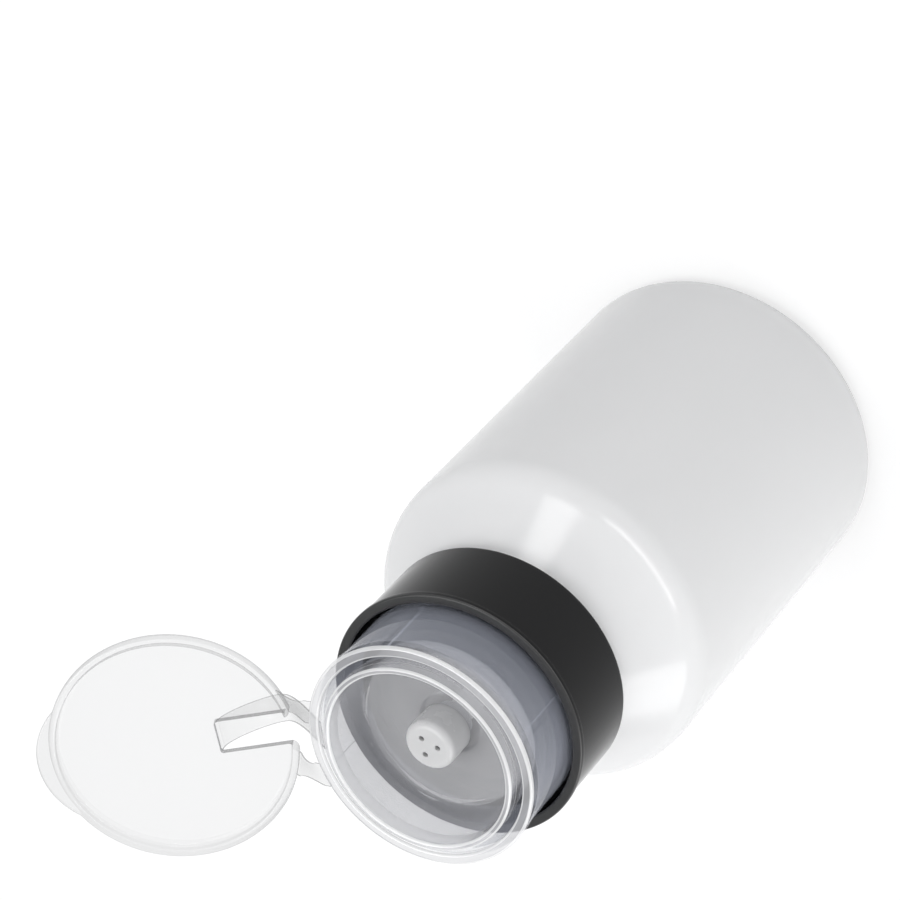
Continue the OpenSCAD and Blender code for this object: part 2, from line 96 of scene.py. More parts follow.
tent = bpy.data.worlds.new("tent")
scene.world = tent
tent.use_nodes = True
wires = tent.node_tree
wires.nodes.clear()
tent_light = wires.nodes.new("ShaderNodeBackground")
tent_light.inputs["Color"].default_value = TENT_COLOUR
tent_light.inputs["Strength"].default_value = TENT_LIGHT
tent_seen = wires.nodes.new("ShaderNodeBackground")
tent_seen.inputs["Color"].default_value = (1, 1, 1, 1)
tent_seen.inputs["Strength"].default_value = 1.0
tent_mix = wires.nodes.new("ShaderNodeMixShader")
tent_out = wires.nodes.new("ShaderNodeOutputWorld")
wires.links.new(seen_by(wires, "Is Camera Ray", "Is Transmission Ray"), tent_mix.inputs["Fac"])
wires.links.new(tent_light.outputs[0], tent_mix.inputs[1])
wires.links.new(tent_seen.outputs[0], tent_mix.inputs[2])
wires.links.new(tent_mix.outputs[0], tent_out.inputs["Surface"])

floor_mesh = bpy.data.meshes.new("floor")
corners = [(x * TABLE_HALF, y * TABLE_HALF, TABLE_Z) for x, y in ((-1, -1), (1, -1), (1, 1), (-1, 1))]
floor_mesh.from_pydata(corners, [], [(0, 1, 2, 3)])
floor = bpy.data.objects.new("floor", floor_mesh)
scene.collection.objects.link(floor)
table_white = bpy.data.materials.new("table_white")
table_white.use_nodes = True
wires = table_white.node_tree
wires.nodes.clear()
lit = wires.nodes.new("ShaderNodeBsdfDiffuse")
lit.inputs["Color"].default_value = (TABLE_TONE, TABLE_TONE, TABLE_TONE, 1)
glow = wires.nodes.new("ShaderNodeEmission")
glow.inputs["Color"].default_value = (1, 1, 1, 1)
glow_level = wires.nodes.new("ShaderNodeMath")
glow_level.operation = "MULTIPLY"
glow_level.inputs[1].default_value = TABLE_GLOW
both = wires.nodes.new("ShaderNodeAddShader")
table_out = wires.nodes.new("ShaderNodeOutputMaterial")
shown = seen_by(wires, "Is Camera Ray", "Is Glossy Ray", "Is Transmission Ray")
wires.links.new(shown, glow_level.inputs[0])
wires.links.new(glow_level.outputs[0], glow.inputs["Strength"])
wires.links.new(lit.outputs[0], both.inputs[0])
wires.links.new(glow.outputs[0], both.inputs[1])
wires.links.new(both.outputs[0], table_out.inputs["Surface"])
floor_mesh.materials.append(table_white)


def soft_lamp(name, place, towards, width, height, power):
    """A rectangular soft lamp, unseen by the camera itself."""
    data = bpy.data.lights.new(name, "AREA")
    data.shape = "RECTANGLE"
    data.size, data.size_y = width, height
    data.energy = power
    lamp = bpy.data.objects.new(name, data)
    lamp.visible_camera = False
    aim = (Vector(towards) - Vector(place)).to_track_quat("-Z", "Y")
    lamp.matrix_world = Matrix.Translation(place) @ aim.to_matrix().to_4x4()
    scene.collection.objects.link(lamp)


soft_lamp("side_lamp", (-0.55, -0.35, 0.35), (0, 0, 0.07), 0.5, 0.5, 2.3)
soft_lamp("strip_lamp", (0.15, -0.32, 0.13), (0, 0, 0.07), 0.42, 0.045, 0.33)
soft_lamp("front_lamp", (0.61, -0.085, 0.41), (0, 0, 0.075), 0.24, 0.2, 0.58)
soft_lamp("top_lamp", (0.1, 0.25, 0.9), (0, 0, 0.07), 0.6, 0.6, 3.25)

# Bottle
# Extrusion blow-moulded from natural high-density polyethylene: a satin, milky white shell about
# 1.2 mm thick, with its threaded neck in one piece and a pinched weld line in the hollow base.
BODY_R, BODY_H, BASE_ROUND, BOTTLE_WALL = 30, 69, 3, 1.2
DOME_R, DOME_H, FLOOR_Z = 23, 1.2, 2.8
SHOULDER_ROUND, SHOULDER_SLOPE, LEDGE_R, LEDGE_Z = 9, math.radians(40), 20.4, 83.717
NECK_R, NECK_BORE_R, NECK_Z = 15.4, 13.6, 92.017
THREAD_H, THREAD_W, THREAD_PITCH, NECK_THREAD_TURNS = 0.85, 1.7, 4.0, 1.3
WELD_LONG, WELD_WIDE, WELD_HIGH, WELD_ROUND = 34, 0.7, 0.8, 0.25


def rounded(corners, steps=6):
    """A closed outline (r, z) in mm from corners (r, z, radius), with loops near each rounding."""
    line = []
    for i, (r, z, radius) in enumerate(corners):
        here = Vector((r, z))
        back = Vector(corners[i - 1][:2]) - here
        ahead = Vector(corners[(i + 1) % len(corners)][:2]) - here
        half = back.angle(ahead) / 2
        if radius <= 0 or half > 1.55:
            line.append(here)
            continue
        reach = min(radius / math.tan(half), 0.48 * back.length, 0.48 * ahead.length)
        radius = reach * math.tan(half)
        inward = (back.normalized() + ahead.normalized()).normalized()
        centre = here + inward * radius / math.sin(half)
        first = here + back.normalized() * reach - centre
        last = here + ahead.normalized() * reach - centre
        sweep = first.angle(last)
        for k in range(steps + 1):
            t = k / steps
            side = first * math.sin((1 - t) * sweep) + last * math.sin(t * sweep)
            line.append(centre + side / math.sin(sweep))
    held = []
    for i, point in enumerate(line):
        held.append(point)
        span = line[(i + 1) % len(line)] - point
        if span.length > 1.2 and max(point.x, line[(i + 1) % len(line)].x) > 1e-6:
            edge = min(0.4, span.length / 4) / span.length
            held += [point + span * edge, point + span * (1 - edge)]
    return [(p.x * MM, 0.0, p.y * MM) for p in held]


def sum_in(tree, kind, a, b=0):
    """A sum in a geometry tree, of sockets or plain numbers."""
    node = tree.nodes.new("ShaderNodeMath")
    node.operation = kind
    for socket, value in zip(node.inputs, (a, b)):
        if isinstance(value, (int, float)):
            socket.default_value = value
        else:
            tree.links.new(value, socket)
    return node.outputs[0]


def turned_tree():
    """Geometry tree that turns an outline of ordered points round the Z axis."""
    tree = bpy.data.node_groups.new("Turned form", "GeometryNodeTree")
    tree.interface.new_socket("Outline", in_out="INPUT", socket_type="NodeSocketGeometry")
    tree.interface.new_socket("Steps", in_out="INPUT", socket_type="NodeSocketInt")
    tree.interface.new_socket("Finish", in_out="INPUT", socket_type="NodeSocketMaterial")
    tree.interface.new_socket("Form", in_out="OUTPUT", socket_type="NodeSocketGeometry")
    add, link = tree.nodes.new, tree.links.new
    sum_of = partial(sum_in, tree)
    given, out = add("NodeGroupInput"), add("NodeGroupOutput")
    size = add("GeometryNodeAttributeDomainSize")
    link(given.outputs["Outline"], size.inputs[0])
    points = size.outputs["Point Count"]
    grid = add("GeometryNodeMeshGrid")
    link(sum_of("ADD", given.outputs["Steps"], 1), grid.inputs["Vertices X"])
    row = sum_of("ADD", points, 1)
    link(row, grid.inputs["Vertices Y"])
    index = add("GeometryNodeInputIndex").outputs[0]
    ring = sum_of("FLOOR", sum_of("DIVIDE", sum_of("ADD", index, 0.25), row))
    along = sum_of("MODULO", sum_of("SUBTRACT", index, sum_of("MULTIPLY", ring, row)), points)
    place = add("GeometryNodeInputPosition").outputs[0]
    sample = add("GeometryNodeSampleIndex")
    sample.data_type = "FLOAT_VECTOR"
    sample.domain = "POINT"
    link(given.outputs["Outline"], sample.inputs["Geometry"])
    link(place, sample.inputs["Value"])
    link(sum_of("ROUND", along), sample.inputs["Index"])
    spin = add("ShaderNodeVectorRotate")
    spin.rotation_type = "Z_AXIS"
    link(sample.outputs[0], spin.inputs["Vector"])
    step = sum_of("MODULO", ring, given.outputs["Steps"])
    link(
        sum_of("MULTIPLY", sum_of("DIVIDE", step, given.outputs["Steps"]), 2 * math.pi),
        spin.inputs["Angle"],
    )
    move = add("GeometryNodeSetPosition")
    link(grid.outputs["Mesh"], move.inputs["Geometry"])
    link(spin.outputs[0], move.inputs["Position"])
    merge = add("GeometryNodeMergeByDistance")
    merge.inputs["Distance"].default_value = 2e-6
    link(move.outputs[0], merge.inputs["Geometry"])
    smooth = add("GeometryNodeSetShadeSmooth")
    link(merge.outputs[0], smooth.inputs["Geometry"])
    real = add("GeometryNodeRealizeInstances")
    link(smooth.outputs[0], real.inputs["Geometry"])
    finish = add("GeometryNodeSetMaterial")
    link(real.outputs[0], finish.inputs["Geometry"])
    link(given.outputs["Finish"], finish.inputs["Material"])
    link(finish.outputs[0], out.inputs["Form"])
    return tree


TURNED = turned_tree()


def settled(piece):
    """The plain mesh that a piece's modifiers give."""
    bpy.context.view_layer.update()
    return bpy.data.meshes.new_from_object(
        piece.evaluated_get(bpy.context.evaluated_depsgraph_get())
    )


def made_solid(name, tree, mesh, values):
    """Runs a geometry tree on a mesh and returns a plain object whose faces point outwards."""
    piece = bpy.data.objects.new(name, mesh)
    scene.collection.objects.link(piece)
    work = piece.modifiers.new("work", "NODES")
    work.node_group = tree
    for item in tree.interface.items_tree:
        if item.in_out == "INPUT" and item.name in values:
            work[item.identifier] = values[item.name]
    solid = settled(piece)
    piece.modifiers.remove(work)
    piece.data = solid
    solid.name = name
    shell = bmesh.new()
    shell.from_mesh(solid)
    if shell.calc_volume(signed=True) < 0:
        bmesh.ops.reverse_faces(shell, faces=shell.faces)
    shell.to_mesh(solid)
    shell.free()
    for face in solid.polygons:
        face.use_smooth = True
    return piece


def turned(name, corners, finish, steps=192, rounding=6):
    """A solid turned from a closed outline of rounded corners."""
    outline = bpy.data.meshes.new(name + "_outline")
    outline.from_pydata(rounded(corners, rounding), [], [])
    return made_solid(name, TURNED, outline, {"Steps": steps, "Finish": finish})


def thread_tree():
    """Geometry tree that runs a rounded ridge along a screw line and fades it in and out."""
    tree = bpy.data.node_groups.new("Screw ridge", "GeometryNodeTree")
    for socket, kind in (
        ("Start", "Geometry"), ("Radius", "Float"), ("Foot", "Float"), ("Pitch", "Float"),
        ("Turns", "Float"), ("Height", "Float"), ("Width", "Float"), ("Finish", "Material"),
    ):
        tree.interface.new_socket(socket, in_out="INPUT", socket_type="NodeSocket" + kind)
    tree.interface.new_socket("Ridge", in_out="OUTPUT", socket_type="NodeSocketGeometry")
    add, link = tree.nodes.new, tree.links.new
    sum_of = partial(sum_in, tree)
    given, out = add("NodeGroupInput"), add("NodeGroupOutput")
    # A strip of the ridge's section (8 points) along 160 places of the screw line
    grid = add("GeometryNodeMeshGrid")
    grid.inputs["Vertices X"].default_value = 161
    grid.inputs["Vertices Y"].default_value = 9
    index = add("GeometryNodeInputIndex").outputs[0]
    place = sum_of("FLOOR", sum_of("DIVIDE", sum_of("ADD", index, 0.25), 9))
    corner = sum_of("SUBTRACT", index, sum_of("MULTIPLY", place, 9))
    way = sum_of("DIVIDE", place, 160)
    around = sum_of("MULTIPLY", sum_of("DIVIDE", corner, 8), 2 * math.pi)
    # Fades to nothing over the first and last eighth
    rise = sum_of("MINIMUM", sum_of("MULTIPLY", way, 8), 1)
    fall = sum_of("MINIMUM", sum_of("MULTIPLY", sum_of("SUBTRACT", 1, way), 8), 1)
    fade = sum_of("ADD", sum_of("MULTIPLY", sum_of("MULTIPLY", rise, fall), 0.98), 0.02)
    high = sum_of("MULTIPLY", given.outputs["Height"], fade)
    high = sum_of("MULTIPLY", high, sum_of("COSINE", around))
    wide = sum_of("MULTIPLY", given.outputs["Width"], 0.5)
    wide = sum_of("MULTIPLY", wide, sum_of("SINE", around))
    wide = sum_of("MULTIPLY", wide, sum_of("ADD", sum_of("MULTIPLY", fade, 0.6), 0.4))
    turns = sum_of("MULTIPLY", way, given.outputs["Turns"])
    radius = sum_of("ADD", given.outputs["Radius"], high)
    height = sum_of("ADD", given.outputs["Foot"], sum_of("MULTIPLY", turns, given.outputs["Pitch"]))
    angle = sum_of("MULTIPLY", turns, 2 * math.pi)
    spot = add("ShaderNodeCombineXYZ")
    link(sum_of("MULTIPLY", radius, sum_of("COSINE", angle)), spot.inputs[0])
    link(sum_of("MULTIPLY", radius, sum_of("SINE", angle)), spot.inputs[1])
    link(sum_of("ADD", height, wide), spot.inputs[2])
    move = add("GeometryNodeSetPosition")
    link(grid.outputs["Mesh"], move.inputs["Geometry"])
    link(spot.outputs[0], move.inputs["Position"])
    merge = add("GeometryNodeMergeByDistance")
    merge.inputs["Distance"].default_value = 2e-6
    link(move.outputs[0], merge.inputs["Geometry"])
    real = add("GeometryNodeRealizeInstances")
    link(merge.outputs[0], real.inputs["Geometry"])
    finish = add("GeometryNodeSetMaterial")
    link(real.outputs[0], finish.inputs["Geometry"])
    link(given.outputs["Finish"], finish.inputs["Material"])
    link(finish.outputs[0], out.inputs["Ridge"])
    return tree


SCREW = thread_tree()


def screw_ridge(name, radius, foot, turns, height, width, finish):
    """A closed ridge along a screw line, its section half sunk into the wall that carries it."""
    start = bpy.data.meshes.new(name + "_start")
    start.from_pydata([(0, 0, 0)], [], [])
    ridge = made_solid(name, SCREW, start, {
        "Radius": radius * MM, "Foot": foot * MM, "Pitch": THREAD_PITCH * MM, "Turns": float(turns),
        "Height": height * MM, "Width": width * MM, "Finish": finish,
    })
    shell = bmesh.new()
    shell.from_mesh(ridge.data)
    bmesh.ops.holes_fill(shell, edges=[e for e in shell.edges if e.is_boundary])
    bmesh.ops.recalc_face_normals(shell, faces=shell.faces)
    shell.to_mesh(ridge.data)
    shell.free()
    return ridge


def one_piece(name, *parts):
    """Joins finished solids into one moulding under a single name."""
    bpy.ops.object.select_all(action="DESELECT")
    for part in parts:
        part.select_set(True)
    bpy.context.view_layer.objects.active = parts[0]
    bpy.ops.object.join()
    parts[0].name = name
    parts[0].data.name = name
    return parts[0]


def moulded_skin():
    """Shader group: slow tone clouds, fine satin grain and faint handling marks of a moulding."""
    group = bpy.data.node_groups.new("Moulded skin", "ShaderNodeTree")
    for socket, value in (("Cloud Scale", 40.0), ("Grain Scale", 900.0), ("Mark Scale", 160.0)):
        made = group.interface.new_socket(socket, in_out="INPUT", socket_type="NodeSocketFloat")
        made.default_value = value
    for socket in ("Tone", "Grain", "Marks"):
        group.interface.new_socket(socket, in_out="OUTPUT", socket_type="NodeSocketFloat")
    add, link = group.nodes.new, group.links.new
    given, out = add("NodeGroupInput"), add("NodeGroupOutput")
    coords = add("ShaderNodeTexCoord")
    for source, target, detail in (
        ("Cloud Scale", "Tone", 3.0), ("Grain Scale", "Grain", 2.0), ("Mark Scale", "Marks", 6.0),
    ):
        noise = add("ShaderNodeTexNoise")
        noise.inputs["Detail"].default_value = detail
        link(coords.outputs["Object"], noise.inputs["Vector"])
        link(given.outputs[source], noise.inputs["Scale"])
        link(noise.outputs["Fac"], out.inputs[target])
    return group


SKIN = moulded_skin()


def grey(level):
    """A neutral colour."""
    return (level, level, level)


def moulded(name, light, dark, rough, rough_more, bump, scales=(40, 900, 160)):
    """A moulded plastic: its own Principled shader, fed by the skin group."""
    mat = bpy.data.materials.new(name)
    mat.use_nodes = True
    add, link = mat.node_tree.nodes.new, mat.node_tree.links.new
    shader = mat.node_tree.nodes["Principled BSDF"]
    skin = add("ShaderNodeGroup")
    skin.node_tree = SKIN
    for socket, value in zip(("Cloud Scale", "Grain Scale", "Mark Scale"), scales):
        skin.inputs[socket].default_value = value
    tones = add("ShaderNodeMix")
    tones.data_type = "RGBA"
    tones.inputs["A"].default_value = (*dark, 1)
    tones.inputs["B"].default_value = (*light, 1)
    link(skin.outputs["Tone"], tones.inputs["Factor"])
    link(tones.outputs["Result"], shader.inputs["Base Color"])
    spread = add("ShaderNodeMapRange")
    spread.inputs["From Min"].default_value = 0.35
    spread.inputs["From Max"].default_value = 0.7
    spread.inputs["To Min"].default_value = rough
    spread.inputs["To Max"].default_value = rough_more
    link(skin.outputs["Marks"], spread.inputs["Value"])
    link(spread.outputs[0], shader.inputs["Roughness"])
    relief = add("ShaderNodeBump")
    relief.inputs["Strength"].default_value = bump
    relief.inputs["Distance"].default_value = 0.0001
    link(skin.outputs["Grain"], relief.inputs["Height"])
    link(relief.outputs[0], shader.inputs["Normal"])
    return mat, shader


def let_light_in(shader, weight, depth):
    """Lets light spread depth mm under the skin of a milky plastic."""
    shader.inputs["Subsurface Weight"].default_value = weight
    shader.inputs["Subsurface Radius"].default_value = (1.0, 1.0, 1.0)
    shader.inputs["Subsurface Scale"].default_value = depth * MM


MILKY, milky_shader = moulded("milky_bottle", grey(0.88), grey(0.86), 0.16, 0.18, 0.03)
milky_shader.inputs["IOR"].default_value = 1.5
let_light_in(milky_shader, 0.5, 4)


def arc(centre_r, centre_z, radius, start, end, steps):
    """Outline corners along an arc, angles from +r towards +z."""
    return [
        (centre_r + radius * math.cos(a), centre_z + radius * math.sin(a), 0)
        for a in (start + (end - start) * k / steps for k in range(steps + 1))
    ]


inner_round = SHOULDER_ROUND - BOTTLE_WALL
ARC_R = BODY_R - SHOULDER_ROUND * (1 - math.cos(SHOULDER_SLOPE))
ARC_Z = BODY_H + SHOULDER_ROUND * math.sin(SHOULDER_SLOPE)
INNER_LEDGE_Z = LEDGE_Z - BOTTLE_WALL
inner_arc_r = ARC_R - BOTTLE_WALL * math.cos(SHOULDER_SLOPE)
inner_arc_z = ARC_Z - BOTTLE_WALL * math.sin(SHOULDER_SLOPE)
inner_ledge_r = inner_arc_r - (INNER_LEDGE_Z - inner_arc_z) * math.tan(SHOULDER_SLOPE)
bottle_corners = (
    [(0, DOME_H, 0), (DOME_R, DOME_H, 0.8), (DOME_R + 0.6, 0, 0.5)]
    + [(BODY_R - BASE_ROUND, 0, 0)]
    + arc(BODY_R - BASE_ROUND, BASE_ROUND, BASE_ROUND, -math.pi / 2, 0, 8)[1:]
    + arc(BODY_R - SHOULDER_ROUND, BODY_H, SHOULDER_ROUND, 0, SHOULDER_SLOPE, 14)
    + [(LEDGE_R, LEDGE_Z, 1.2), (NECK_R, LEDGE_Z, 0.8)]
    + [(NECK_R, NECK_Z, 0.4), (NECK_BORE_R, NECK_Z, 0.4), (NECK_BORE_R, INNER_LEDGE_Z, 0.5)]
    + [(inner_ledge_r, INNER_LEDGE_Z, 0)]
    + arc(BODY_R - SHOULDER_ROUND, BODY_H, inner_round, SHOULDER_SLOPE, 0, 10)
    + [(BODY_R - BOTTLE_WALL, FLOOR_Z, BASE_ROUND - BOTTLE_WALL), (0, FLOOR_Z, 0)]
)
bottle = turned("blown_bottle", bottle_corners, MILKY, steps=224)
neck_thread = screw_ridge(
    "neck_thread", NECK_R, LEDGE_Z + 1.6, NECK_THREAD_TURNS, THREAD_H, THREAD_W, MILKY
)
weld = bpy.data.meshes.new("base_weld")
weld_form = bmesh.new()
weld_size = Matrix.Diagonal((WELD_LONG * MM, WELD_WIDE * MM, WELD_HIGH * MM, 1))
bmesh.ops.create_cube(weld_form, size=1, matrix=weld_size)
bmesh.ops.bevel(
    weld_form, geom=weld_form.edges[:], offset=WELD_ROUND * MM, segments=3, affect="EDGES", profile=0.5
)
bmesh.ops.translate(weld_form, verts=weld_form.verts, vec=(0, 0, (DOME_H + 0.05) * MM))
weld_form.to_mesh(weld)
weld_form.free()
weld.materials.append(MILKY)
base_weld = bpy.data.objects.new("base_weld", weld)
scene.collection.objects.link(base_weld)
bottle = one_piece("blown_bottle", bottle, neck_thread, base_weld)
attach(bottle, "bottle")
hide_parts("bottle")

# Neck gasket
# A punched ring of closed-cell foam, squeezed between the neck's rim and the pump's flange.


def dress(node, finish):
    """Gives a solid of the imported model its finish."""
    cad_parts[node].data.materials.clear()
    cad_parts[node].data.materials.append(finish)


FOAM, _ = moulded(
    "gasket_foam", (0.82, 0.83, 0.83), (0.7, 0.71, 0.72), 0.75, 0.9, 0.8, scales=(300, 2600, 1200)
)
dress("neck_gasket", FOAM)

# Pump barrel, piston and stem
# Injection-moulded natural polypropylene and polyethylene, pressed into each other.
NATURAL, natural_shader = moulded(
    "natural_moulding", (0.86, 0.865, 0.87), (0.8, 0.805, 0.81), 0.25, 0.4, 0.05
)
let_light_in(natural_shader, 0.3, 1)
for name in ("pump_housing", "piston", "stem"):
    dress(name, NATURAL)

# Dip tube
# Extruded polyethylene tube pushed into the socket under the barrel, slightly streaky.
TUBE, _ = moulded(
    "extruded_tube", (0.84, 0.85, 0.86), (0.72, 0.74, 0.76), 0.3, 0.45, 0.1, scales=(25, 700, 300)
)
dress("dip_tube", TUBE)

# Valve balls
# Ground stainless steel balls that drop back on their seats.
BALL, ball_shader = moulded("ground_steel", (0.66, 0.67, 0.68), (0.56, 0.57, 0.59), 0.08, 0.2, 0.02)
ball_shader.inputs["Metallic"].default_value = 1.0
for name in ("inlet_ball", "outlet_ball"):
    dress(name, BALL)

# Return spring
# Cold-coiled stainless wire with its end turns closed, standing in the barrel under the piston.
SPRING_Z, SPRING_LEN, SPRING_R, WIRE_D, SPRING_TURNS = 68.017, 14.0, 3.8, 0.8, 7


def coil_tree():
    """Geometry tree for a coil of round wire: flat end turns and an even pitch between them."""
    tree = bpy.data.node_groups.new("Closed coil", "GeometryNodeTree")
    for socket, kind in (
        ("Start", "Geometry"), ("Foot", "Float"), ("Length", "Float"), ("Radius", "Float"),
        ("Wire", "Float"), ("Turns", "Float"), ("Finish", "Material"),
    ):
        tree.interface.new_socket(socket, in_out="INPUT", socket_type="NodeSocket" + kind)
    tree.interface.new_socket("Coil", in_out="OUTPUT", socket_type="NodeSocketGeometry")
    add, link = tree.nodes.new, tree.links.new
    sum_of = partial(sum_in, tree)
    given, out = add("NodeGroupInput"), add("NodeGroupOutput")
    wire, turns = given.outputs["Wire"], given.outputs["Turns"]
    line = add("GeometryNodeCurvePrimitiveLine")
    places = add("GeometryNodeResampleCurve")
    places.inputs["Count"].default_value = 281
    link(line.outputs[0], places.inputs["Curve"])
    index = add("GeometryNodeInputIndex").outputs[0]
    way = sum_of("MULTIPLY", sum_of("DIVIDE", index, 280), turns)
    rise = sum_of("SUBTRACT", given.outputs["Length"], wire)
    open_turns = sum_of("SUBTRACT", turns, 2)
    pitch = sum_of("DIVIDE", sum_of("SUBTRACT", rise, sum_of("MULTIPLY", wire, 2)), open_turns)
    first = sum_of("MULTIPLY", wire, sum_of("MINIMUM", way, 1))
    middle = sum_of("MINIMUM", sum_of("MAXIMUM", sum_of("SUBTRACT", way, 1), 0), open_turns)
    last = sum_of("MAXIMUM", sum_of("SUBTRACT", way, sum_of("SUBTRACT", turns, 1)), 0)
    above = sum_of("ADD", sum_of("MULTIPLY", middle, pitch), sum_of("MULTIPLY", last, wire))
    lift = sum_of("ADD", first, above)
    foot = sum_of("ADD", given.outputs["Foot"], sum_of("MULTIPLY", wire, 0.5))
    angle = sum_of("MULTIPLY", way, 2 * math.pi)
    spot = add("ShaderNodeCombineXYZ")
    link(sum_of("MULTIPLY", given.outputs["Radius"], sum_of("COSINE", angle)), spot.inputs[0])
    link(sum_of("MULTIPLY", given.outputs["Radius"], sum_of("SINE", angle)), spot.inputs[1])
    link(sum_of("ADD", foot, lift), spot.inputs[2])
    move = add("GeometryNodeSetPosition")
    link(places.outputs[0], move.inputs["Geometry"])
    link(spot.outputs[0], move.inputs["Position"])
    section = add("GeometryNodeCurvePrimitiveCircle")
    section.inputs["Resolution"].default_value = 14
    link(sum_of("MULTIPLY", wire, 0.5), section.inputs["Radius"])
    drawn = add("GeometryNodeCurveToMesh")
    drawn.inputs["Fill Caps"].default_value = True
    link(move.outputs[0], drawn.inputs["Curve"])
    link(section.outputs["Curve"], drawn.inputs["Profile Curve"])
    real = add("GeometryNodeRealizeInstances")
    link(drawn.outputs[0], real.inputs["Geometry"])
    finish = add("GeometryNodeSetMaterial")
    link(real.outputs[0], finish.inputs["Geometry"])
    link(given.outputs["Finish"], finish.inputs["Material"])
    link(finish.outputs[0], out.inputs["Coil"])
    return tree


WIRE, wire_shader = moulded(
    "spring_wire", (0.6, 0.61, 0.62), (0.46, 0.47, 0.49), 0.22, 0.4, 0.15, scales=(200, 2400, 900)
)
wire_shader.inputs["Metallic"].default_value = 1.0
coil_start = bpy.data.meshes.new("coil_start")
coil_start.from_pydata([(0, 0, 0)], [], [])
spring = made_solid("coil_spring", coil_tree(), coil_start, {
    "Foot": SPRING_Z * MM, "Length": SPRING_LEN * MM, "Radius": SPRING_R * MM, "Wire": WIRE_D * MM,
    "Turns": float(SPRING_TURNS), "Finish": WIRE,
})
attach(spring, "pump")
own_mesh(spring)
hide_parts("return_spring")

# Screw collar
# One black, polished injection moulding: the outer skin with a bead round its mouth, the inner
# threaded sleeve, the web that clamps the pump's flange, and the well that the cup slides into.
COLLAR_R, COLLAR_BORE_R, COLLAR_Z, MOUTH_Z = 22.3, 20.9, 84.617, 100.917
LIP_OUT, LIP_H, SLEEVE_R, SLEEVE_BORE_R = 0.35, 1.1, 18.2, 16.6
WEB_Z, WEB_TOP, WEB_HOLE_R, WELL_Z, WEB_T = 94.217, 95.417, 6.2, 91.217, 1.2
COLLAR_THREAD_TURNS = 1.2
BLACK, black_shader = moulded(
    "black_gloss", (0.005, 0.005, 0.0055), (0.003, 0.003, 0.0035), 0.08, 0.14, 0.02
)
black_shader.inputs["IOR"].default_value = 1.46
black_shader.inputs["Specular IOR Level"].default_value = 0.18


def paint_light(piece, finish, where):
    """Gives faces that where(centre, normal) picks a copy of the material with painted light and
    shade.
    """
    piece.data.materials.append(finish)
    for face in piece.data.polygons:
        if where(face.center / MM, face.normal):
            face.material_index = len(piece.data.materials) - 1


collar = turned("screw_collar", [
    (COLLAR_BORE_R, COLLAR_Z, 0.4), (COLLAR_R, COLLAR_Z, 0.7),
    (COLLAR_R, MOUTH_Z - LIP_H, 0.25), (COLLAR_R + LIP_OUT, MOUTH_Z - LIP_H, 0.17),
    (COLLAR_R + LIP_OUT, MOUTH_Z, 0.4), (COLLAR_BORE_R, MOUTH_Z, 0.4),
    (COLLAR_BORE_R, WELL_Z, 0.3), (SLEEVE_R, WELL_Z, 0.3), (SLEEVE_R, WEB_TOP, 0.4),
    (WEB_HOLE_R, WEB_TOP, 0.3), (WEB_HOLE_R, WEB_Z, 0.2), (SLEEVE_BORE_R, WEB_Z, 0.3),
    (SLEEVE_BORE_R, COLLAR_Z, 0.4), (SLEEVE_R, COLLAR_Z, 0.4), (SLEEVE_R, WELL_Z - WEB_T, 0.3),
    (COLLAR_BORE_R, WELL_Z - WEB_T, 0.3),
], BLACK, steps=224)
# The mouth's top face gets a rougher black, painted lighter than the rest: a painted highlight.
LIP_HIGHLIGHT, _ = moulded("black_lip_painted_highlight", grey(0.034), grey(0.026), 0.3, 0.4, 0.02)
paint_light(collar, LIP_HIGHLIGHT, lambda centre, normal: centre.z > MOUTH_Z - 0.3 and normal.z > 0.3)
collar_thread = screw_ridge(
    "collar_thread", SLEEVE_BORE_R, LEDGE_Z + 3.6, COLLAR_THREAD_TURNS, THREAD_H - 0.1, THREAD_W, BLACK
)
collar = one_piece("screw_collar", collar, collar_thread)
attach(collar, "collar")
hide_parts("collar")

# Stem guide
# A black plug of the same resin as the collar, pressed into the top of the barrel.
dress("stem_guide", BLACK)

# Push-down cup
# One clear polypropylene moulding: the dish with its raised lip, the flange with an outer ring, the
# hub that grips the nozzle, and the skirt with its guide ribs that slides in the collar.
RIM_Z, RIM_R, RIM_W, LIP_RISE = 113.667, 20.4, 1.9, 1.05
FLANGE_Z, FLANGE_TOP, SKIRT_R, SKIRT_BORE_R, SKIRT_Z = 111.217, 112.517, 20.1, 19.0, 98.017
DISH_R, DISH_FLOOR_R, DISH_WALL, DISH_FLOOR_Z, DISH_FLOOR_T = 16, 14.9, 1.1, 104.517, 1.2
HUB_R, HUB_Z, SPIGOT_BORE_R = 5.4, 101.817, 3.42
RIB_TURN, RIB_COUNT, RIB_W, RIB_T, RIB_IN = 11.6, 4, 1.4, 0.8, 0.4


def clear_plastic(name, light, dark, tone, face, edge, rough=0.05, rough_more=0.1):
    """Thin clear moulding: light goes straight through a faint haze that thickens edge on."""
    mat, shader = moulded(name, light, dark, rough, rough_more, 0.02)
    add, link = mat.node_tree.nodes.new, mat.node_tree.links.new
    shader.inputs["IOR"].default_value = 1.9
    facing = add("ShaderNodeLayerWeight")
    facing.inputs["Blend"].default_value = 0.5
    steep = add("ShaderNodeMath")
    steep.operation = "POWER"
    steep.inputs[1].default_value = 3.0
    link(facing.outputs["Facing"], steep.inputs[0])
    cover = add("ShaderNodeMapRange")
    cover.inputs["To Min"].default_value = face
    cover.inputs["To Max"].default_value = edge
    link(steep.outputs[0], cover.inputs["Value"])
    link(cover.outputs[0], shader.inputs["Alpha"])
    edges = add("ShaderNodeMix")
    edges.data_type = "RGBA"
    edges.inputs["B"].default_value = (*tone, 1)
    link(steep.outputs[0], edges.inputs["Factor"])
    link(shader.inputs["Base Color"].links[0].from_socket, edges.inputs["A"])
    link(edges.outputs["Result"], shader.inputs["Base Color"])
    return mat


